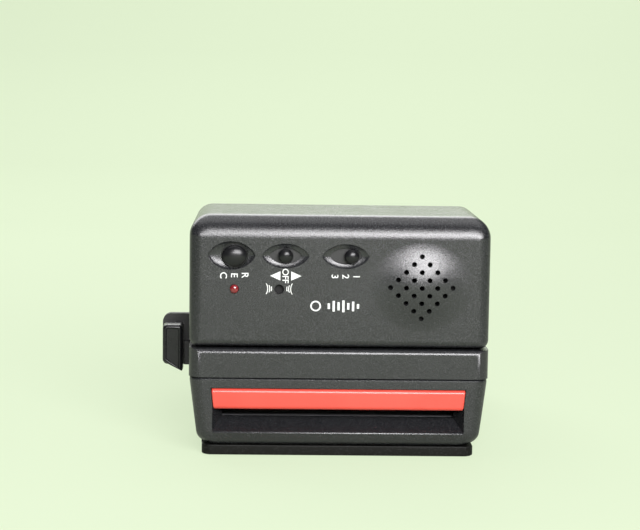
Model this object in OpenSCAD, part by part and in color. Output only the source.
// Folding instant camera with a voice-message lid.
// +X is to the right seen from the front, +Y runs from the front to the back, +Z is up.
// The origin is on the underside of the black base, midway between the body's sides.

/* [Body] */
// Width of the body
body_w = 118; // [110:1:142]
// Depth of the body, front to back
body_d = 148; // [138:1:178]
// Overall height, floor to the top of the lid
body_h = 95; // [88:1:115]
// Thickness of the outer shells
wall = 2; // [1.5:0.1:2.4]
// Thickness of the black base
base_h = 4.4; // [4:0.1:5.4]
// Visible gap between outer covers
seam = 0.7; // [0.4:0.1:1]

/* [Film door] */
// Height of the film door
door_h = 27; // [27:0.5:33]
// Depth of the film door, front face to hinge axis
door_d = 20.5; // [20:0.5:25]
// Width of the picture slot
slot_w = 92; // [90:0.5:94]
// Height of the picture slot
slot_h = 4.6; // [4.2:0.1:4.8]
// Height of the coloured front bar
bar_h = 8.2; // [7:0.1:8.8]
// Radius of the developing rollers
roller_r = 4.2; // [3.6:0.1:4.4]

/* [Front deck] */
// Height of the fixed strip between door and lid
deck_h = 11.4; // [9.5:0.1:13.7]
// How far the lens panel lies behind the front face
panel_set = 16.5; // [15:0.5:20]

/* [Lid] */
// Depth of the lid, front face to hinge axis
lid_d = 56; // [50:1:67]
// Thickness of the lid's front part
lid_front_t = 13; // [12:0.5:14]
// Radius of the lid's round back, half its top thickness
lid_r = 9.5; // [8:0.5:10]
// Radius of the lid's front top edge
lid_edge_r = 9; // [6:0.5:10]
// Radius of the speaker bulge
speaker_r = 19; // [16:0.5:21]
// Diameter of the speaker holes
speaker_hole_d = 1.9; // [1.4:0.1:2.2]

/* [Film] */
// Width of the film pack
pack_w = 93; // [90:1:94]
// Length of the film pack
pack_l = 112; // [100:1:114]
// Thickness of the film pack
pack_t = 17.5; // [15:0.5:18.5]

/* [Lens] */
// Radius of the lens barrel
lens_r = 11; // [9:0.5:13]
// Radius of the taking lens
glass_r = 6; // [5:0.5:7]

/* [Gears] */
// Gear module
gear_m = 0.8; // [0.7:0.05:0.85]
// Teeth on the roller gear
roller_teeth = 14; // [14:1:15]
// Teeth on the drive gear
drive_teeth = 16; // [14:1:17]
// Teeth on the motor pinion
pinion_teeth = 10; // [9:1:11]

/* [Hidden] */
$fn = 48;

run = 0.05;            // radial running clearance of a shaft
play = 0.3;            // clearance between pieces that slide
eps = 0.5;             // overshoot of a cut
half_w = body_w / 2;
front_y = -body_d / 2;
rear_y = body_d / 2;

plate_t = 2;                                // thickness of inner plates
shell_z0 = base_h;                          // bottom of the shells
door_z0 = shell_z0 - 0.4;
door_z1 = door_z0 + door_h;
deck_z0 = door_z1 + seam / 2;
deck_z1 = deck_z0 + deck_h;
hinge_y = front_y + door_d;                 // film door hinge
hinge_z = door_z0 + 2.9;
hinge_pin_r = 1;
lug_r = 2.5;
door_back_y = hinge_y;
base_y0 = hinge_y + lug_r + seam;           // front edge of the bottom cover

lid_y0 = front_y + 0.5;
lid_z0 = deck_z1 + seam;
lid_z1 = body_h;
pivot_y = lid_y0 + lid_d;
pivot_z = lid_z1 - lid_r;
lid_inner_y = lid_y0 + lid_front_t;         // inner face of the lid's front part
lid_under_z = lid_z1 - 2 * lid_r;           // underside of the lid's top part
lid_slope_y = lid_inner_y + 6;              // where the lid's side edge starts to rise
lid_pin_r = 1.5;
ear_t = 4;
ear_r = 5;
ear_x = half_w - wall - 7 - ear_t;
rear_split_y = pivot_y + lid_r + seam;      // front edge of the rear shell

panel_y = front_y + panel_set;
nose_hw = half_w - wall - 1.4;              // half width of the part that the lid covers
nose_z1 = lid_under_z - 1.2;

top_z = body_h - 3;                         // top of the rear shell
rear_top_y = rear_y - 50;
rear_low_z = 27;

contact_t = 0.5;                            // battery contacts on the chamber floor
chamber_z0 = shell_z0 + contact_t + 0.1;
chamber_z1 = chamber_z0 + pack_t + 0.6;
chamber_y0 = hinge_y + 1.6;
chamber_y1 = chamber_y0 + pack_l + 3;
rail_x = pack_w / 2 + 0.7;
rail_t = 1.8;

slot_z = door_z1 - 14.2;                    // middle of the picture slot
bar_z1 = door_z1 - 4;
bar_z0 = bar_z1 - bar_h;
mouth_w = slot_w + 8;
mouth_z0 = door_z1 - 21.6;
mouth_y = front_y + 8;                      // back of the mouth
roller_y = mouth_y + 2 + roller_r + play;
upper_z = slot_z + roller_r + 0.1;
lower_z = slot_z - roller_r - 0.1;
journal_r = 1.5;
bracket_x = slot_w / 2 + 1.6;
bracket_t = 1.8;
gear_x = bracket_x + bracket_t + 0.6;
gear_t = 3.4;

// The drive gear lies on the line that the roller gear leaves along when the door opens.
swing = [upper_z - hinge_z, hinge_y - roller_y];
swing_n = swing / norm(swing);
mesh_gap = 0.12;
drive_c = gear_m * (roller_teeth + drive_teeth) / 2 + mesh_gap;
drive_y = roller_y + swing_n[0] * drive_c;
drive_z = upper_z + swing_n[1] * drive_c;
motor_c = gear_m * (drive_teeth + pinion_teeth) / 2 + mesh_gap;
motor_turn = 72;
motor_y = drive_y + motor_c * cos(motor_turn);
motor_z = drive_z + motor_c * sin(motor_turn);
motor_r = 5.8;

lens_z = (deck_z1 + nose_z1) / 2 + 1;
finder_x = 40;
finder_z = lens_z + 6;
finder_hw = 8.2;
finder_hh = 6.4;
finder_t = 1.3;
eye_x = -24;
eye_z = lens_z + 7;
eye_r = 4;

button_z = lid_z1 - 15.6;                   // row of the lid's controls
record_x = -41.3;
play_x = -21.4;
message_x = 2.1;
knob_r = 3.1;
speaker_x = 31.8;
speaker_z = lid_z1 - 27.4;
speaker_pitch = 3.05;
bulge_h = 1.9;
bulge_r = (speaker_r * speaker_r + bulge_h * bulge_h) / (2 * bulge_h);
led_x = record_x;
led_z = lid_z1 - 28.7;
mic_x = -23.8;

pod_x = half_w;                             // side that carries the shutter button, at -X
pod_w = 12;
pod_z0 = deck_z1 - 12;
pod_z1 = pod_z0 + 21;
pod_y0 = panel_y + 8;
pod_y1 = pod_y0 + 13;
latch_z = door_z1 + 3.4;

// ---------- helpers ----------
module across_x(x0, x1) { translate([x0, 0, 0]) rotate([90, 0, 90]) linear_extrude(x1 - x0) children(); }
module along_y(y0, y1) { translate([0, y1, 0]) rotate([90, 0, 0]) linear_extrude(y1 - y0) children(); }
module along_z(z0, z1) { translate([0, 0, z0]) linear_extrude(z1 - z0) children(); }
module box(lo, hi) { translate(lo) cube(hi - lo); }
module rod_x(x0, x1, y, z, r) { translate([x0, y, z]) rotate([0, 90, 0]) cylinder(h = x1 - x0, r = r); }
module rod_y(y0, y1, x, z, r) { translate([x, y0, z]) rotate([-90, 0, 0]) cylinder(h = y1 - y0, r = r); }
module rod_z(z0, z1, x, y, r) { translate([x, y, z0]) cylinder(h = z1 - z0, r = r); }
module both_sides() {
    children();
    mirror([1, 0, 0]) children();
}

// Rectangle from [x0, y0] to [x1, y1] with one radius at each corner, anticlockwise from the lower left.
module round_box(x0, y0, x1, y1, r) {
    corners = [[x0, y0, 1, 1], [x1, y0, -1, 1], [x1, y1, -1, -1], [x0, y1, 1, -1]];
    difference() {
        translate([x0, y0]) square([x1 - x0, y1 - y0]);
        for (i = [0:3]) if (r[i] > 0) {
            c = corners[i];
            difference() {
                translate([c[0], c[1]]) square(2 * r[i], center = true);
                translate([c[0] + c[2] * r[i], c[1] + c[3] * r[i]]) circle(r[i]);
            }
        }
    }
}

function arc(cx, cy, r, a0, a1, n = 8) =
    [for (i = [0:n]) let (a = a0 + (a1 - a0) * i / n) [cx + r * cos(a), cy + r * sin(a)]];

// Almond outline of width w and height h, as the overlap of two circles.
module almond(w, h) {
    r = (w * w + h * h) / (4 * h);
    intersection() {
        translate([0, r - h / 2]) circle(r, $fn = 96);
        translate([0, h / 2 - r]) circle(r, $fn = 96);
    }
}

// Spur gear about the X axis with straight-sided teeth and ample backlash.
module gear(teeth, thick, bore, turn = 0) {
    root = gear_m * (teeth / 2 - 1.15);
    tip = gear_m * (teeth / 2 + 0.85);
    rotate([turn, 0, 0]) rotate([90, 0, 90]) linear_extrude(thick) difference() {
        union() {
            circle(root);
            for (i = [0:teeth - 1]) rotate(i * 360 / teeth)
                polygon([[root - 0.3, -gear_m * 0.86], [tip, -gear_m * 0.3],
                         [tip, gear_m * 0.3], [root - 0.3, gear_m * 0.86]]);
        }
        circle(bore);
    }
}

// Pan-head screw standing along -Z from its head's underside at z = 0.
module screw(head_r, shank_r, length) {
    difference() {
        union() {
            cylinder(h = 1.1, r = head_r);
            translate([0, 0, -length]) cylinder(h = length, r = shank_r);
        }
        translate([0, 0, 1]) cube([head_r * 1.2, 0.5, 1], center = true);
        translate([0, 0, 1]) cube([0.5, head_r * 1.2, 1], center = true);
    }
}

// ---------- base ----------
boss_r = 2.6;
boss_h = 12;
boss_x = half_w - 7.2;
front_boss_y = base_y0 + 9;
rear_boss_y = rear_y - 18;
screw_r = 1.1;
screw_head_r = 2;
screw_xy = [for (x = [-1, 1]) for (y = [front_boss_y, rear_boss_y]) [x * boss_x, y]];
head_z = base_h - 1.6;                      // underside of the screw heads' seats
base_hw = half_w - 4.4;
hinge_lug_x = 30;
hinge_lug_w = 8;

module bottom_cover() {
    color([0.09, 0.09, 0.09]) difference() {
        union() {
            along_z(0, base_h)
                round_box(-base_hw, base_y0, base_hw, rear_y - 3, [2, 2, 8, 8]);
            // lugs that hold the door's hinge pin
            both_sides() {
                rod_x(hinge_lug_x, hinge_lug_x + hinge_lug_w, hinge_y, hinge_z, lug_r);
                box([hinge_lug_x, hinge_y, hinge_z - lug_r],
                    [hinge_lug_x + hinge_lug_w, base_y0 + 3, hinge_z]);
            }
        }
        both_sides()
            rod_x(hinge_lug_x - eps, hinge_lug_x + hinge_lug_w + eps, hinge_y, hinge_z, hinge_pin_r);
        for (p = screw_xy) rod_z(-eps, base_h + eps, p[0], p[1], screw_r);
        for (p = screw_xy) rod_z(-eps, head_z, p[0], p[1], screw_head_r + 0.2);
        // grip grooves in the underside
        both_sides() for (i = [0:7])
            box([16, base_y0 + 12 + i * 10, -eps], [42, base_y0 + 15 + i * 10, 0.8]);
    }
}

module housing_screws() {
    color("silver") for (p = screw_xy)
        translate([p[0], p[1], head_z]) mirror([0, 0, 1]) screw(screw_head_r, screw_r, 7);
}

// ---------- main shells ----------
module front_side(i) {
    difference() {
        polygon([
            [front_y + i, deck_z0 + i], [front_y + i, deck_z1 - i], [lid_slope_y, deck_z1 - i],
            [pivot_y, lid_under_z - seam - i], [rear_split_y - seam / 2, lid_under_z - seam - i],
            [rear_split_y - seam / 2, shell_z0], [hinge_y + seam, shell_z0],
            [hinge_y + seam, deck_z0 + i]
        ]);
        difference() {
            translate([front_y + i, deck_z1 - i]) square(4 - 2 * (i > 0 ? 1 : 0), center = true);
            translate([front_y + i + 2 - (i > 0 ? 1 : 0), deck_z1 - i - 2 + (i > 0 ? 1 : 0)])
                circle(2 - (i > 0 ? 1 : 0));
        }
    }
}

// Section across the body: its sides lean in below the deck, and its lower edges are round.
lean_r = 3.2;
module leaning_sides(i) {
    low_hw = half_w - door_draft;
    polygon(concat(
        [[half_w - i, deck_z0], [half_w - i, body_h], [-half_w + i, body_h], [-half_w + i, deck_z0]],
        arc(-low_hw + lean_r, shell_z0 + lean_r, lean_r - i, 186, 270),
        arc(low_hw - lean_r, shell_z0 + lean_r, lean_r - i, -90, -6)));
}

module front_form(i) {
    intersection() {
        across_x(-half_w + i, half_w - i) front_side(i);
        along_z(0, body_h) round_box(-half_w + i, front_y + i, half_w - i, rear_y, [5 - i, 5 - i, 0, 0]);
    }
}

// Screw bosses standing on the base, tied to the side walls by a rib.
module shell_bosses(y) {
    both_sides() difference() {
        intersection() {
            union() {
                rod_z(shell_z0, shell_z0 + boss_h, boss_x, y, boss_r);
                box([boss_x, y - 0.8, shell_z0], [half_w, y + 0.8, shell_z0 + boss_h]);
            }
            along_y(y - boss_r, y + boss_r) leaning_sides(0.1);
        }
        rod_z(shell_z0 - eps, shell_z0 + boss_h - 3, boss_x, y, screw_r);
    }
}

floor_hw = half_w - 8.8;                    // half the width of the shells' open floor
module front_shell() {
    color([0.20, 0.21, 0.21]) difference() {
        union() {
            difference() {
                intersection() {
                    front_form(0);
                    along_y(front_y, 0) leaning_sides(0);
                }
                // open to the back, the bottom and the film door
                front_form(wall);
                along_y(hinge_y + seam - eps, rear_split_y + eps) intersection() {
                    leaning_sides(wall);
                    square([body_w, 2 * (lid_under_z - seam - wall)], center = true);
                }
                box([-floor_hw, hinge_y + seam - eps, 0], [floor_hw, rear_split_y + eps, deck_z0]);
            }
            // nose that the lid folds over
            difference() {
                box([-nose_hw, panel_y, deck_z1 - wall], [nose_hw, rear_split_y - seam / 2, nose_z1]);
                box([-nose_hw + wall, panel_y - eps, deck_z1 - wall - eps],
                    [nose_hw - wall, rear_split_y + eps, nose_z1 - wall]);
            }
            // ears that carry the lid
            both_sides() {
                rod_x(ear_x, ear_x + ear_t, pivot_y, pivot_z, ear_r);
                box([ear_x, pivot_y - ear_r, nose_z1 - wall], [ear_x + ear_t, pivot_y + ear_r, pivot_z]);
            }
            shell_bosses(front_boss_y);
        }
        // inside of the nose and the wedge sides join up
        box([-nose_hw + wall, panel_y + 0.01, deck_z1 - wall - 0.02],
            [nose_hw - wall, rear_split_y + eps, nose_z1 - wall]);
        both_sides() rod_x(ear_x - eps, ear_x + ear_t + eps, pivot_y, pivot_z, lid_pin_r + run);
        // shutter button passage
        box([-half_w - eps, pod_y0 + 2, pod_z0 + 4], [-half_w + wall + eps, pod_y1 - 3, pod_z0 + 8]);
        for (p = screw_xy) rod_z(0, shell_z0 + boss_h - 3, p[0], p[1], screw_r);
        // latch slot
        box([half_w - wall - eps, hinge_y + 2.5, latch_z - 2.4],
            [half_w + eps, hinge_y + 15, latch_z + 2.4]);
    }
}

module rear_side(i) {
    polygon(concat(
        [[rear_split_y + seam / 2, shell_z0], [rear_split_y + seam / 2, top_z - i]],
        arc(rear_top_y - 6, top_z - 10, 10 - i, 90, 46),
        arc(rear_y - 8, rear_low_z - 5, 8 - i, 46, 0),
        [[rear_y - i, shell_z0]]
    ));
}

module rear_shell() {
    color([0.20, 0.21, 0.21]) difference() {
        union() {
            difference() {
                intersection() {
                    across_x(-half_w, half_w) rear_side(0);
                    along_y(front_y, rear_y + eps)
                        round_box(-half_w, shell_z0 - 1, half_w, top_z, [0, 0, 7, 7]);
                    along_z(0, body_h) round_box(-half_w, front_y, half_w, rear_y, [0, 0, 8, 8]);
                    along_y(front_y, rear_y + eps) leaning_sides(0);
                }
                intersection() {
                    across_x(-half_w + wall, half_w - wall) rear_side(wall);
                    along_y(front_y, rear_y)
                        round_box(-half_w + wall, shell_z0 - 2, half_w - wall, top_z - wall, [0, 0, 5, 5]);
                    along_z(0, body_h)
                        round_box(-half_w + wall, front_y, half_w - wall, rear_y - wall, [0, 0, 6, 6]);
                    along_y(front_y, rear_y) leaning_sides(wall);
                }
                // open floor
                along_z(0, shell_z0 + wall + eps)
                    round_box(-floor_hw, rear_split_y - 1, floor_hw, rear_y - wall, [0, 0, 6, 6]);
            }
            shell_bosses(rear_boss_y);
            // arbor of the picture counter
            on_slope(counter_x, counter_s + dial_drop, wall + 1 + dial_t + 0.6)
                cylinder(h = dial_t + 2, r = 1.2);
        }
        // eyepiece and counter openings in the sloping back
        box([finder_x - finder_hw - play, rear_split_y + 10, finder_z - finder_hh - play],
            [finder_x + finder_hw + play, rear_y, finder_z + finder_hh + play]);
        on_slope(counter_x, counter_s, wall + 1) translate([-3.5, -3, 0]) cube([7, 6, wall + 2]);
        for (p = screw_xy) rod_z(0, shell_z0 + boss_h - 3, p[0], p[1], screw_r);
    }
}

// The sloping back: the ends of its straight stretch and its angle.
slope_a = [rear_top_y - 6 + 10 * cos(46), top_z - 10 + 10 * sin(46)];
slope_b = [rear_y - 8 + 8 * cos(46), rear_low_z - 5 + 8 * sin(46)];
slope_deg = atan2(slope_b[1] - slope_a[1], slope_b[0] - slope_a[0]);

// ---------- film chamber, light path ----------
window_w = 80;                              // picture aperture
window_y0 = chamber_y0 + 28;
chassis_z1 = chamber_z1 + plate_t;

module chassis() {
    color([0.07, 0.07, 0.07]) difference() {
        union() {
            box([-rail_x - rail_t, chamber_y0, chamber_z1],
                [rail_x + rail_t, chamber_y1 + plate_t, chassis_z1]);
            both_sides() box([rail_x, chamber_y0, shell_z0],
                [rail_x + rail_t, chamber_y1 + plate_t, chassis_z1]);
            box([-rail_x, chamber_y1, shell_z0], [rail_x, chamber_y1 + plate_t, chassis_z1]);
            // ear and stud of the drive gear
            box([rail_x, drive_y - 2.5, chassis_z1 - 1], [rail_x + rail_t, drive_y + 2.5, drive_z + 2]);
            rod_x(rail_x, gear_x + gear_t + 0.4, drive_y, drive_z, 1.2);
        }
        box([-window_w / 2, window_y0, chamber_z1 - eps],
            [window_w / 2, window_y0 + window_w, chassis_z1 + eps]);
        // way for the film door's lower edge as it swings open
        box([-half_w, chamber_y0 - eps, 0], [half_w, chamber_y0 + 4, hinge_z + lug_r + 1]);
        // slot of the pick arm
        box([-rail_x + 1.2, chamber_y1 - 34, chamber_z1 - eps],
            [-rail_x + 4.8, chamber_y1 + 0.01, chassis_z1 + eps]);
    }
}

// Places its children on the sloping back: x across, s down the slope, d deep under the outer face.
module on_slope(x, s, d) {
    translate([x, slope_a[0], slope_a[1]]) rotate([slope_deg, 0, 0]) translate([0, s, -d]) children();
}
slope_len = norm(slope_b - slope_a);
mirror_d = 9;
mirror_w0 = 50;                             // at the top edge
mirror_w1 = 78;                             // at the bottom edge
mirror_s0 = 14;
mirror_len = slope_len - 24;

module mirror_plate(grow, d, t) {
    on_slope(0, mirror_s0, d) linear_extrude(t) polygon([
        [-mirror_w0 / 2 - grow, -grow], [mirror_w0 / 2 + grow, -grow],
        [mirror_w1 / 2 + grow, mirror_len + grow], [-mirror_w1 / 2 - grow, mirror_len + grow]]);
}

module main_mirror() { color([0.85, 0.88, 0.9]) mirror_plate(0, mirror_d - 0.02, 1.6); }

cone_y = panel_y + 20;
module light_cone() {
    color([0.05, 0.05, 0.05]) difference() {
        hull() {
            box([-10, cone_y, lens_z - 9], [10, cone_y + 1, lens_z + 9]);
            box([-window_w / 2 - 1.4, window_y0 - 1.4, chassis_z1],
                [window_w / 2 + 1.4, window_y0 + window_w + 1.4, chassis_z1 + 1]);
            mirror_plate(1.4, mirror_d + 1, 1);
        }
        hull() {
            box([-8.6, cone_y - eps, lens_z - 7.6], [8.6, cone_y + 1, lens_z + 7.6]);
            box([-window_w / 2, window_y0, chassis_z1 - eps],
                [window_w / 2, window_y0 + window_w, chassis_z1 + 1]);
            mirror_plate(0, mirror_d + 1, 1.4);
        }
    }
}

// ---------- lens panel ----------
panel_t = 2;
panel_z0 = deck_z1 + 0.1;
panel_z1 = nose_z1 - wall - 0.1;
panel_hw = nose_hw - wall - 0.1;
slide_y = panel_y + panel_t + 0.4;          // close-up slide behind the panel
slide_t = 1.6;
closeup_travel = 22;
knob_z = lens_z - lens_r - 3;
knob_w = 6;
exposure_x = eye_x - 4;
exposure_z = lens_z - 12.5;
exposure_travel = 4;

module lens_panel() {
    color([0.06, 0.06, 0.06]) difference() {
        along_y(panel_y, panel_y + panel_t)
            round_box(-panel_hw, panel_z0, panel_hw, panel_z1, [1, 1, 1, 1]);
        rod_y(panel_y - eps, panel_y + panel_t + eps, 0, lens_z, lens_r);
        rod_y(panel_y - eps, panel_y + panel_t + eps, eye_x, eye_z, eye_r);
        box([finder_x - finder_hw - 0.2, panel_y - eps, finder_z - finder_hh - 0.2],
            [finder_x + finder_hw + 0.2, panel_y + panel_t + eps, finder_z + finder_hh + 0.2]);
        // slots of the close-up knob and the exposure knob
        box([-closeup_travel / 2 - knob_w / 2 - play, panel_y - eps, knob_z - 1.3],
            [closeup_travel / 2 + knob_w / 2 + play, panel_y + panel_t + eps, knob_z + 1.3]);
        box([exposure_x - exposure_travel - 2 - play, panel_y - eps, exposure_z - 1.3],
            [exposure_x + exposure_travel + 2 + play, panel_y + panel_t + eps, exposure_z + 1.3]);
    }
}

module lens_barrel() {
    color([0.1, 0.1, 0.1]) translate([0, panel_y, lens_z]) rotate([-90, 0, 0]) rotate_extrude($fn = 64)
        polygon([[glass_r + 1.6, 1.2], [lens_r - 1.6, -2.2], [lens_r - 0.2, -2.2], [lens_r, -1.6],
                 [lens_r, panel_t], [lens_r - 2.2, panel_t], [lens_r - 2.2, 1.9], [glass_r + 1.6, 1.9]]);
}

lens_y = slide_y + slide_t + 0.5;
module taking_lens() {
    color([0.5, 0.6, 0.7, 0.5]) intersection() {
        rod_y(lens_y, lens_y + 3, 0, lens_z, glass_r);
        translate([0, lens_y + 14, lens_z]) sphere(14, $fn = 96);
    }
}

module closeup_slider() {
    color([0.12, 0.12, 0.12]) difference() {
        union() {
            along_y(slide_y, slide_y + slide_t)
                round_box(-closeup_travel - 9, lens_z - 9, 9, lens_z + 9, [2, 2, 2, 2]);
            box([-closeup_travel / 2 - knob_w / 2, slide_y, knob_z - 1],
                [-closeup_travel / 2 + knob_w / 2, slide_y + slide_t, lens_z - 8]);
            box([-closeup_travel / 2 - knob_w / 2, panel_y - 1.6, knob_z - 1],
                [-closeup_travel / 2 + knob_w / 2, slide_y + slide_t, knob_z + 1]);
        }
        rod_y(slide_y - eps, slide_y + slide_t + eps, 0, lens_z, glass_r + 0.6);
        rod_y(slide_y - eps, slide_y + slide_t + eps, -closeup_travel, lens_z, glass_r + 0.6);
    }
}

module closeup_lens() {
    color([0.5, 0.6, 0.7, 0.5])
        rod_y(slide_y + 0.2, slide_y + slide_t - 0.2, -closeup_travel, lens_z, glass_r + 0.6);
}

module exposure_slider() {
    color([0.85, 0.85, 0.82]) {
        box([exposure_x - 2, panel_y - 1.2, exposure_z - 1], [exposure_x + 2, slide_y, exposure_z + 1]);
        box([exposure_x - 6, slide_y, exposure_z - 3], [exposure_x + 6, slide_y + 1, exposure_z + 1.2]);
    }
}

housing_y = lens_y + 3.2;
housing_t = 3;
blade_t = 0.5;
blade_r = glass_r - 0.4;
blade_pivot = [glass_r + 8, -glass_r - 4];  // from the lens axis, in x and z

housing_z1 = nose_z1 - wall - 0.025;          // top, held under the roof of the shell
module shutter_housing() {
    color([0.12, 0.12, 0.12]) difference() {
        union() {
            along_y(housing_y, housing_y + housing_t)
                round_box(-19, lens_z - 13, 19, housing_z1, [2, 2, 2, 2]);
            // posts that the blades turn on
            both_sides() rod_y(housing_y + housing_t, housing_y + housing_t + 2.2,
                blade_pivot[0], lens_z + blade_pivot[1], 1.2);
            // seat of the taking lens
            rod_y(lens_y + 2.2, housing_y, 0, lens_z, glass_r + 1.5);
        }
        rod_y(lens_y, housing_y + housing_t + eps, 0, lens_z, glass_r - 1.2);
        rod_y(lens_y, lens_y + 3.05, 0, lens_z, glass_r + 0.05);
    }
}

module blade(y, side) {
    reach = norm(blade_pivot);
    turn = atan2(-blade_pivot[1], side * -blade_pivot[0]);
    color([0.16, 0.16, 0.16]) translate([side * blade_pivot[0], y + blade_t, lens_z + blade_pivot[1]])
        rotate([90, 0, 0]) linear_extrude(blade_t) difference() {
            union() {
                rotate(turn) translate([reach, 0]) circle(blade_r);
                circle(2.6);
                rotate(turn) translate([0, -2]) square([reach, 4]);
            }
            circle(1.2 + run);
        }
}
module shutter_blade_left() { blade(housing_y + housing_t + 0.3, -1); }
module shutter_blade_right() { blade(housing_y + housing_t + 1.2, 1); }

module eye_window() {
    color([0.25, 0.2, 0.15, 0.6]) rod_y(panel_y + 0.2, panel_y + panel_t, eye_x, eye_z, eye_r);
}

// ---------- viewfinder ----------
slope_rate = (slope_b[1] - slope_a[1]) / (slope_b[0] - slope_a[0]);
finder_y1 = slope_a[0] + (finder_z - slope_a[1]) / slope_rate + 5;

module viewfinder_tube() {
    color([0.06, 0.06, 0.06]) difference() {
        box([finder_x - finder_hw, panel_y + 1, finder_z - finder_hh],
            [finder_x + finder_hw, finder_y1, finder_z + finder_hh]);
        box([finder_x - finder_hw + finder_t, panel_y, finder_z - finder_hh + finder_t],
            [finder_x + finder_hw - finder_t, finder_y1 + eps, finder_z + finder_hh - finder_t]);
    }
}

module finder_glass(y, t) {
    color([0.55, 0.62, 0.68, 0.5])
        box([finder_x - finder_hw + finder_t, y, finder_z - finder_hh + finder_t],
            [finder_x + finder_hw - finder_t, y + t, finder_z + finder_hh - finder_t]);
}
module viewfinder_front_lens() { finder_glass(panel_y + 1.2, 1.6); }
module viewfinder_eyepiece() { finder_glass(finder_y1 - 3, 1.6); }

module eyecup() {
    color([0.04, 0.04, 0.04]) difference() {
        along_y(finder_y1 - 16, finder_y1 + 3.5)
            round_box(finder_x - finder_hw - 2.4, finder_z - finder_hh - 2.4,
                finder_x + finder_hw + 2.4, finder_z + finder_hh + 2.4, [3, 3, 3, 3]);
        box([finder_x - finder_hw, 0, finder_z - finder_hh],
            [finder_x + finder_hw, finder_y1 + 5, finder_z + finder_hh]);
        across_x(-half_w, half_w) rear_side(0);
    }
}

// ---------- shutter button at the side ----------
button_w = 8;
button_h = 19;
button_t = 9;
button_travel = 2.4;
pod_plate_t = 3.6;
pod_gap = 0.6;
button_x1 = -pod_x - pod_w + 0.6 + button_w;
button_z0 = pod_z0 - 1;
button_y1 = pod_y1 - pod_plate_t - button_travel - 1.2;
stem_z = button_z0 + button_h / 2 + 1;
stem_x = button_x1 - button_w / 2;
stem_r = 1.5;

module shutter_pod() {
    color([0.12, 0.12, 0.13]) difference() {
        union() {
            along_y(pod_y1 - pod_plate_t, pod_y1)
                round_box(-pod_x - pod_w, pod_z0, -pod_x - pod_gap, pod_z1, [2, 0, 0, 3.5]);
            // stem that screws to the body's side
            box([-pod_x - 3, pod_y1 - pod_plate_t - 4, pod_z0 + 0.5], [-pod_x, pod_y1, pod_z0 + 10]);
        }
        rod_y(pod_y1 - pod_plate_t - eps, pod_y1 + eps, stem_x, stem_z, stem_r + run);
    }
}

module shutter_button() {
    color([0.03, 0.03, 0.03]) {
        along_y(button_y1 - button_t, button_y1) difference() {
            round_box(button_x1 - button_w, button_z0, button_x1, button_z0 + button_h, [0, 1, 1.5, 1.5]);
            polygon([[button_x1 - button_w - 1, button_z0 + 4.2], [button_x1 - 1, button_z0 - eps],
                     [button_x1 - button_w - 1, button_z0 - eps]]);
        }
        rod_y(button_y1, pod_y1 + 1.5, stem_x, stem_z, stem_r);
    }
}

// Compression spring round the button's stem, as closed flat turns.
module button_spring() {
    free_y = pod_y1 - pod_plate_t - button_y1;
    color("silver") difference() {
        rod_y(button_y1 + 0.05, button_y1 + free_y - 0.05, stem_x, stem_z, stem_r + 1);
        rod_y(button_y1, button_y1 + free_y, stem_x, stem_z, stem_r + 0.3);
    }
}

// ---------- electrics and drive ----------
board_t = 1.6;
board_x = -half_w + wall + 3;

module main_board() {
    color([0.08, 0.3, 0.16]) union() {
        box([board_x, rear_split_y + 6, shell_z0 + 26],
            [board_x + board_t, rear_split_y + 44, shell_z0 + 54]);
        for (y = [10, 40]) for (z = [29, 41])
            rod_x(-half_w + wall, board_x, rear_split_y + y, shell_z0 + z, 1.6);
        box([board_x + board_t, rear_split_y + 12, shell_z0 + 33],
            [board_x + board_t + 1.4, rear_split_y + 26, shell_z0 + 43]);
        rod_x(board_x + board_t, board_x + board_t + 3, rear_split_y + 33, shell_z0 + 36, 2.5);
    }
}

module drive_motor() {
    color("silver") {
        rod_x(gear_x - 26, gear_x - 2, motor_y, motor_z, motor_r);
        rod_x(gear_x - 2, gear_x - 0.8, motor_y, motor_z, 2.2);
        rod_x(gear_x - 0.8, gear_x + gear_t + 0.4, motor_y, motor_z, 0.9);
        // cradle on the chassis
        box([gear_x - 22, motor_y - 4, chassis_z1], [gear_x - 6, motor_y + 4, motor_z - motor_r + 0.8]);
    }
}

module motor_pinion() {
    color([0.85, 0.83, 0.75]) translate([gear_x, motor_y, motor_z])
        gear(pinion_teeth, gear_t, 0.9 + run, motor_phase);
}
module drive_gear() {
    color([0.85, 0.83, 0.75]) translate([gear_x, drive_y, drive_z])
        gear(drive_teeth, gear_t, 1.2 + run, drive_phase);
}

// A tooth of one gear faces a gap of the next along the line of centres.
line_in = atan2(drive_z - upper_z, drive_y - roller_y);
roller_phase = line_in;
drive_phase = line_in + 180 + 180 / drive_teeth;
line_out = motor_turn;
steps = (line_out - drive_phase) / (360 / drive_teeth);
motor_phase = line_out + 180 + 180 / pinion_teeth - (steps - floor(steps)) * -360 / pinion_teeth;

pick_w = 3;
module pick_arm() {
    color("silver") {
        box([-rail_x + 1.5, chamber_y1 - 18, chassis_z1 + 0.3],
            [-rail_x + 1.5 + pick_w, chamber_y1 - 1, chassis_z1 + 1.3]);
        box([-rail_x + 1.5, chamber_y1 - 2, chamber_z1 - 0.2],
            [-rail_x + 1.5 + pick_w, chamber_y1 - 1, chassis_z1 + 0.3]);
    }
}

module battery_contacts() {
    color([0.8, 0.65, 0.3]) for (x = [rail_x - 8, rail_x - 16])
        box([x - 2, chamber_y0 + 9, shell_z0], [x + 2, chamber_y0 + 21, shell_z0 + contact_t]);
}

// ---------- picture counter ----------
counter_x = -half_w + 17;
counter_s = slope_len * 0.36;
dial_r = 7.5;
dial_t = 1.2;
dial_drop = 4.5;                            // dial centre below the window's centre

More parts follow.
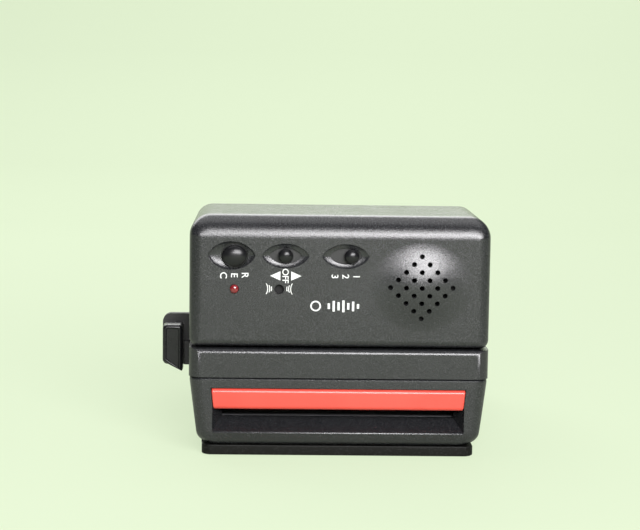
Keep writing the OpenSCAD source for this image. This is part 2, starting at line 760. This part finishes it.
module counter_dial() {
    color([0.9, 0.9, 0.88]) on_slope(counter_x, counter_s + dial_drop, wall + 0.6 + dial_t) difference() {
        cylinder(h = dial_t, r = dial_r);
        translate([0, 0, -eps]) cylinder(h = dial_t + 2 * eps, r = 1.2 + run);
    }
}

module counter_window() {
    color([0.6, 0.65, 0.7, 0.4]) on_slope(counter_x, counter_s, 1.4)
        translate([-3.4, -2.9, 0]) cube([6.8, 5.8, 1]);
}

// ---------- side fittings ----------
module door_latch() {
    color([0.12, 0.12, 0.13]) {
        along_y(hinge_y + 8, hinge_y + 14)
            round_box(half_w + 0.15, latch_z - 3, half_w + 2.2, latch_z + 3, [0.8, 0.8, 0.8, 0.8]);
        box([half_w - wall - 0.15, hinge_y + 8.4, latch_z - 2.1],
            [half_w + 0.15, hinge_y + 13.6, latch_z + 2.1]);
        box([half_w - wall - 1.15, hinge_y + 7, latch_z - 2.8],
            [half_w - wall - 0.15, hinge_y + 15, latch_z + 2.8]);
    }
}

lug_gap = 4.6;
module strap_lug() {
    color([0.12, 0.12, 0.13]) {
        rod_z(lug_z0, lug_z1, half_w + lug_gap + 1.4, lug_y, 1.4);
        for (z = [lug_z0, lug_z1 - 3])
            box([half_w, lug_y - 1.4, z], [half_w + lug_gap + 1.4, lug_y + 1.4, z + 3]);
    }
}
lug_y = rear_split_y + 16;
lug_z0 = deck_z0 + 0.4;
lug_z1 = lug_z0 + 22;

module door_hinge_pin() {
    color("silver") both_sides()
        rod_x(hinge_lug_x - 12, hinge_lug_x + hinge_lug_w, hinge_y, hinge_z, hinge_pin_r);
}

// ---------- film door ----------
door_draft = 2.9;                           // how far each side leans in towards the bottom
door_hw = half_w - 0.2;

module door_form(i) {
    low_hw = door_hw - door_draft;
    intersection() {
        across_x(-half_w, half_w) polygon(concat(
            [[door_back_y, door_z0 + i], [door_back_y, door_z1 - i], [front_y + i, door_z1 - i]],
            arc(front_y + 5, door_z0 + 5, 5 - i, 180, 270)));
        along_y(front_y - eps, door_back_y + eps) polygon(concat(
            [[-door_hw + i, door_z1]], arc(-low_hw + 6, door_z0 + 6, 6 - i, 186, 270),
            arc(low_hw - 6, door_z0 + 6, 6 - i, -90, -6), [[door_hw - i, door_z1]]));
        along_z(0, door_z1)
            round_box(-door_hw + i, front_y + i, door_hw - i, door_back_y, [5 - i, 5 - i, 0, 0]);
    }
}

mouth_hw = mouth_w / 2;
slot_z0 = slot_z - slot_h / 2;
slot_z1 = slot_z + slot_h / 2;
door_lug_x = hinge_lug_x - 10;
door_lug_w = 8;

module film_door() {
    color([0.20, 0.21, 0.21]) difference() {
        union() {
            difference() {
                door_form(0);
                intersection() {
                    door_form(wall);
                    box([-half_w, front_y, 0], [half_w, door_back_y + eps, door_z1]);
                }
                box([-half_w + wall + 4, door_back_y - eps, 0],
                    [half_w - wall - 4, door_back_y + eps, door_z1]);
            }
            // block that holds the bar, the mouth and the picture slot
            intersection() {
                door_form(0.5);
                box([-mouth_hw - 2, front_y, door_z0], [mouth_hw + 2, mouth_y + 2, door_z1]);
            }
            both_sides() {
                rod_x(door_lug_x, door_lug_x + door_lug_w, hinge_y, hinge_z, lug_r);
                box([door_lug_x, hinge_y - 4, door_z0 + wall / 2],
                    [door_lug_x + door_lug_w, hinge_y, hinge_z]);
            }
        }
        // pocket of the front bar
        along_y(front_y - eps, front_y + 3.6) bar_outline(0.2);
        // funnel: its floor slopes up and its sides close in towards the slot
        intersection() {
            across_x(-mouth_hw, mouth_hw) polygon([[front_y - 1, mouth_z0 - 0.3], [mouth_y, slot_z0],
                [mouth_y, slot_z1], [front_y + 3.6, slot_z1], [front_y + 3.6, bar_z0 + 1],
                    [front_y - 1, bar_z0 + 1]]);
            along_z(0, door_z1) polygon([[-mouth_hw, front_y - 1], [mouth_hw, front_y - 1],
                [slot_w / 2, mouth_y], [-slot_w / 2, mouth_y]]);
        }
        box([-slot_w / 2, mouth_y - 0.01, slot_z0], [slot_w / 2, mouth_y + 3, slot_z1]);
        both_sides() {
            // room for the base's lugs and the drive gear
            box([hinge_lug_x - play, hinge_y - lug_r - 0.7, 0],
                [hinge_lug_x + hinge_lug_w + play, hinge_y + eps, hinge_z + lug_r + 1]);
            box([gear_x - 0.6, roller_y - 1, door_z1 - wall - 1],
                [gear_x + gear_t + 0.6, hinge_y + eps, door_z1 + eps]);
            rod_x(door_lug_x - eps, door_lug_x + door_lug_w + eps, hinge_y, hinge_z, hinge_pin_r + run);
            box([gear_x - 0.6, roller_y - 7.2, door_z0 + wall], [mouth_hw + 2.5, hinge_y, door_z1 - wall]);
        }
    }
}

// Outline of the coloured bar; its ends follow the door's draft.
module bar_outline(c) {
    lean = bar_h * door_draft / door_h;
    polygon([[-mouth_hw + lean - c, bar_z0 - c], [mouth_hw - lean + c, bar_z0 - c],
             [mouth_hw + c, bar_z1 + c], [-mouth_hw - c, bar_z1 + c]]);
}

module front_bar() {
    color([0.9, 0.2, 0.15]) intersection() {
        along_y(front_y - 0.5, front_y + 3.5) bar_outline(0);
        across_x(-mouth_hw, mouth_hw)
            round_box(front_y - 0.5, bar_z0, front_y + 3.5, bar_z1, [1.6, 0, 0, 1.6]);
    }
}

module door_base() {
    color([0.05, 0.05, 0.05]) along_z(0, door_z0)
        round_box(-door_hw + 5, front_y + 2.5, door_hw - 5, front_y + 12.5, [4, 4, 2, 2]);
}

bracket_z1 = upper_z + journal_r + 2.2;
module roller_brackets() {
    color("silver") both_sides() difference() {
        box([bracket_x, roller_y - roller_r, door_z0 + wall],
            [bracket_x + bracket_t, roller_y + roller_r, bracket_z1]);
        rod_x(bracket_x - eps, bracket_x + bracket_t + eps, roller_y, upper_z, journal_r + run);
        rod_x(bracket_x - eps, bracket_x + bracket_t + eps, roller_y, lower_z, journal_r + run);
    }
}

module roller_springs() {
    color([0.75, 0.75, 0.72]) both_sides()
        box([slot_w / 2 + 0.3, mouth_y + 2, upper_z + journal_r + 0.1],
            [bracket_x - 0.1, roller_y + 3, upper_z + journal_r + 0.6]);
}

module upper_roller() {
    color("silver") {
        rod_x(-slot_w / 2, slot_w / 2, roller_y, upper_z, roller_r);
        rod_x(-bracket_x - bracket_t - 0.4, gear_x, roller_y, upper_z, journal_r);
        rod_x(gear_x - 0.01, gear_x + gear_t + 0.8, roller_y, upper_z, journal_r);
    }
    color([0.85, 0.83, 0.75]) translate([gear_x, roller_y, upper_z])
        gear(roller_teeth, gear_t, journal_r - 0.05, roller_phase);
}

module lower_roller() {
    color("silver") {
        rod_x(-slot_w / 2, slot_w / 2, roller_y, lower_z, roller_r);
        rod_x(-bracket_x - bracket_t - 0.4, bracket_x + bracket_t + 0.4, roller_y, lower_z, journal_r);
    }
}

module light_flap() {
    color([0.03, 0.03, 0.03]) box([-slot_w / 2 + 0.3, mouth_y + 0.4, slot_z1 - 0.5],
        [slot_w / 2 - 0.3, mouth_y + 1.6, slot_z1]);
}

// ---------- lid with the flash and the voice recorder ----------
module lid_side(i) {
    difference() {
        union() {
            polygon([[lid_y0 + i, lid_z0 + i], [lid_y0 + i, lid_z1 - i], [pivot_y, lid_z1 - i],
                     [pivot_y, lid_under_z], [lid_slope_y, lid_z0 + i]]);
            translate([pivot_y, pivot_z]) circle(lid_r - i);
        }
        difference() {
            translate([lid_y0 + i, lid_z1 - i]) square(2 * (lid_edge_r - i), center = true);
            translate([lid_y0 + lid_edge_r, lid_z1 - lid_edge_r]) circle(lid_edge_r - i, $fn = 96);
        }
        difference() {
            translate([lid_y0 + i, lid_z0 + i]) square(2 * (3 - i), center = true);
            translate([lid_y0 + 3, lid_z0 + 3]) circle(3 - i);
        }
    }
}

module lid_form(i) {
    intersection() {
        across_x(-half_w + i, half_w - i) lid_side(i);
        along_y(front_y, rear_y)
            round_box(-half_w + i, lid_z0 + i, half_w - i, lid_z1 - i, [3 - i, 3 - i, 8 - i, 8 - i]);
        along_z(0, body_h) round_box(-half_w + i, lid_y0 + i, half_w - i, rear_y, [5 - i, 5 - i, 0, 0]);
    }
}

inner_t = 1.6;
module nose_space(grow) {
    box([-half_w + wall, lid_inner_y - grow, 0], [half_w - wall, pivot_y + lid_r + 1, lid_under_z + grow]);
}

module ear_slots() {
    both_sides() {
        rod_x(ear_x - play, ear_x + ear_t + play, pivot_y, pivot_z, ear_r + play);
        box([ear_x - play, pivot_y - ear_r - play, 0],
            [ear_x + ear_t + play, pivot_y + lid_r + 1, pivot_z]);
        box([ear_x - play, pivot_y, pivot_z - 1],
            [ear_x + ear_t + play, pivot_y + lid_r + 1, pivot_z + ear_r + play]);
    }
}

lid_screw_x = half_w - 5.5;
lid_screw_z = [lid_z0 + 6, lid_under_z - 4];
lid_boss_r = 2.4;
pin_boss_x = ear_x + ear_t + 0.4;
record_hole_r = 5.2;
switch_w = 12.4;
switch_h = 6.4;
switch_step = 2.3;
led_r = 1.75;
mic_r = 1.9;

module speaker_holes() {
    for (i = [-2:2]) for (j = [-2:2])
        rod_y(lid_y0 - 3, lid_y0 + wall + eps, speaker_x + (i - j) * speaker_pitch,
            speaker_z + (i + j) * speaker_pitch, speaker_hole_d / 2);
}

module lid_cover() {
    color([0.20, 0.21, 0.21]) difference() {
        union() {
            difference() {
                union() {
                    lid_form(0);
                    intersection() {
                        translate([speaker_x, lid_y0 - bulge_h + bulge_r, speaker_z])
                            sphere(bulge_r, $fn = 96);
                        rod_y(lid_y0 - 4, lid_y0 + 1, speaker_x, speaker_z, speaker_r + 2);
                    }
                }
                lid_form(wall);
                nose_space(0);
            }
            both_sides() {
                for (z = lid_screw_z)
                    rod_y(lid_y0 + wall / 2, lid_inner_y - inner_t - 0.1, lid_screw_x, z, lid_boss_r);
                rod_x(pin_boss_x, half_w - wall / 2, pivot_y, pivot_z, 4);
            }
        }
        ear_slots();
        both_sides() {
            for (z = lid_screw_z) rod_y(lid_y0 + wall + 2, lid_inner_y, lid_screw_x, z, screw_r);
            rod_x(pin_boss_x - eps, half_w - wall - 1, pivot_y, pivot_z, lid_pin_r);
        }
        speaker_holes();
        rod_y(lid_y0 - eps, lid_y0 + wall + eps, record_x, button_z, record_hole_r);
        for (x = [play_x, message_x]) translate([x, lid_y0 + wall + eps, button_z]) rotate([90, 0, 0])
            linear_extrude(wall + 2 * eps) almond(switch_w, switch_h);
        rod_y(lid_y0 - eps, lid_y0 + wall + eps, led_x, led_z, led_r + 0.1);
        rod_y(lid_y0 - eps, lid_y0 + wall + eps, mic_x, led_z, mic_r);
        // shallow dishes round the controls
        for (x = [record_x - 2, play_x, message_x])
            translate([x, lid_y0 + 0.9, button_z]) rotate([90, 0, 0])
            linear_extrude(2) almond(18.4, 10.6);
    }
}

flash_x0 = -44;
flash_x1 = 4;
flash_y0 = lid_inner_y + 9;
flash_y1 = flash_y0 + 24;

module lid_inner_cover() {
    color([0.06, 0.06, 0.06]) difference() {
        intersection() {
            lid_form(wall + 0.1);
            nose_space(inner_t);
            box([-half_w, lid_inner_y - inner_t, 0], [half_w, pivot_y - ear_r - 2, body_h]);
        }
        nose_space(0);
        ear_slots();
        both_sides() for (z = lid_screw_z)
            rod_y(lid_inner_y - inner_t - eps, lid_inner_y + eps, lid_screw_x, z, screw_r);
        box([flash_x0, flash_y0, lid_under_z - eps], [flash_x1, flash_y1, lid_under_z + inner_t + eps]);
    }
}

module lid_hinge_pins() {
    color("silver") both_sides() rod_x(ear_x - 2, half_w - wall - 1, pivot_y, pivot_z, lid_pin_r);
}

module lid_screws() {
    color("silver") both_sides() for (z = lid_screw_z)
        translate([lid_screw_x, lid_inner_y, z]) rotate([-90, 0, 0]) screw(screw_head_r, screw_r, 6);
}

module flash_window() {
    color([0.85, 0.88, 0.9, 0.5]) union() {
        box([flash_x0 + 0.1, flash_y0 + 0.1, lid_under_z - 0.4],
            [flash_x1 - 0.1, flash_y1 - 0.1, lid_under_z + inner_t]);
        box([flash_x0 - 1, flash_y0 - 1, lid_under_z + inner_t],
            [flash_x1 + 1, flash_y1 + 1, lid_under_z + inner_t + 0.6]);
    }
}

reflector_y = (flash_y0 + flash_y1) / 2;
reflector_z = lid_under_z + inner_t + 0.8;
reflector_r = 11;
module flash_reflector() {
    color([0.85, 0.85, 0.85]) intersection() {
        difference() {
            rod_x(flash_x0, flash_x1, reflector_y, reflector_z, reflector_r);
            rod_x(flash_x0 + 1, flash_x1 - 1, reflector_y, reflector_z, reflector_r - 1);
        }
        box([flash_x0, reflector_y - reflector_r, reflector_z],
            [flash_x1, reflector_y + reflector_r, reflector_z + reflector_r]);
    }
}

module flash_tube() {
    color([0.9, 0.92, 0.95, 0.5]) rod_x(flash_x0 + 1, flash_x1 - 1, reflector_y, reflector_z + 5, 1.5);
}

module flash_capacitor() {
    color([0.1, 0.12, 0.25]) {
        rod_x(12, 38, reflector_y - 4, lid_under_z + inner_t + 6.4, 6.4);
        rod_x(38, 39, reflector_y - 4, lid_under_z + inner_t + 6.4, 4);
    }
}

module speaker() {
    color([0.15, 0.15, 0.15]) translate([speaker_x, lid_y0 + wall, speaker_z]) rotate([-90, 0, 0]) {
        rotate_extrude($fn = 64) polygon([[0, 3.4], [5, 3.4], [speaker_r - 5, 0.6],
            [speaker_r - 3.4, 0], [speaker_r - 2, 0],
            [speaker_r - 2, 2.4], [9, 5.4], [9, 8.6], [0, 8.6]]);
    }
}

sound_y = lid_y0 + wall + 5;
module sound_board() {
    color([0.08, 0.3, 0.16]) {
        box([record_x - 7.5, sound_y, led_z - 8], [message_x + 10, sound_y + board_t, button_z + 5.5]);
        for (x = [record_x - 3, message_x + 5]) for (z = [led_z - 5, led_z + 6])
            rod_y(sound_y + board_t, lid_inner_y - inner_t - 0.1, x, z, 1.5);
        box([play_x + 4, sound_y - 1.4, led_z - 5], [play_x + 16, sound_y, led_z + 3]);
    }
}

module status_led() {
    color([0.5, 0.05, 0.05]) {
        rod_y(lid_y0 - 0.1, sound_y, led_x, led_z, led_r);
        translate([led_x, lid_y0 - 0.1, led_z]) sphere(led_r, $fn = 32);
    }
}

module microphone() {
    color([0.1, 0.1, 0.1]) rod_y(lid_y0 + wall + 0.2, sound_y, mic_x, led_z, 3);
}

button_travel_y = 1.5;
module record_button() {
    color([0.05, 0.05, 0.05]) {
        intersection() {
            rod_y(lid_y0 - 2, lid_y0 + wall + 1.2, record_x, button_z, record_hole_r - 0.25);
            translate([record_x, lid_y0 - 0.9 + 8.5, button_z]) sphere(8.5, $fn = 64);
        }
        rod_y(lid_y0 + wall + 0.2, lid_y0 + wall + 1.2, record_x, button_z, record_hole_r + 1);
        rod_y(lid_y0 + wall + 1.2, sound_y - button_travel_y - 0.2, record_x, button_z, 1.6);
    }
}

plate_hw = switch_w / 2 + switch_step + 0.1;
module slide_switch(knob_x) {
    color([0.03, 0.03, 0.03]) {
        along_y(lid_y0 + wall + 0.2, lid_y0 + wall + 1.6)
            round_box(knob_x - plate_hw, button_z - 4.2, knob_x + plate_hw, button_z + 4.2, [1, 1, 1, 1]);
        intersection() {
            rod_y(lid_y0 - 2, lid_y0 + 0.7, knob_x, button_z, knob_r);
            translate([knob_x, lid_y0 + 2.2, button_z]) sphere(3.8, $fn = 48);
        }
        rod_y(lid_y0 + 0.6, lid_y0 + wall + 1, knob_x, button_z, 1.4);
        box([knob_x - 1.5, lid_y0 + wall + 1.6, button_z - 1], [knob_x + 1.5, sound_y - 0.3, button_z + 1]);
    }
}
module play_switch() { slide_switch(play_x); }
module message_switch() { slide_switch(message_x + switch_step); }

bottom_cover();
housing_screws();
front_shell();
rear_shell();
chassis();
light_cone();
main_mirror();
lens_panel();
lens_barrel();
taking_lens();
shutter_housing();
shutter_blade_left();
shutter_blade_right();
eye_window();
viewfinder_tube();
viewfinder_front_lens();
viewfinder_eyepiece();
eyecup();
closeup_slider();
closeup_lens();
exposure_slider();
shutter_pod();
shutter_button();
button_spring();
main_board();
drive_motor();
motor_pinion();
drive_gear();
pick_arm();
battery_contacts();
counter_dial();
counter_window();
door_latch();
strap_lug();
door_hinge_pin();
film_door();
door_base();
front_bar();
roller_brackets();
roller_springs();
light_flap();
upper_roller();
lower_roller();
lid_cover();
lid_inner_cover();
lid_hinge_pins();
lid_screws();
flash_window();
flash_reflector();
flash_tube();
flash_capacitor();
speaker();
sound_board();
status_led();
microphone();
record_button();
play_switch();
message_switch();
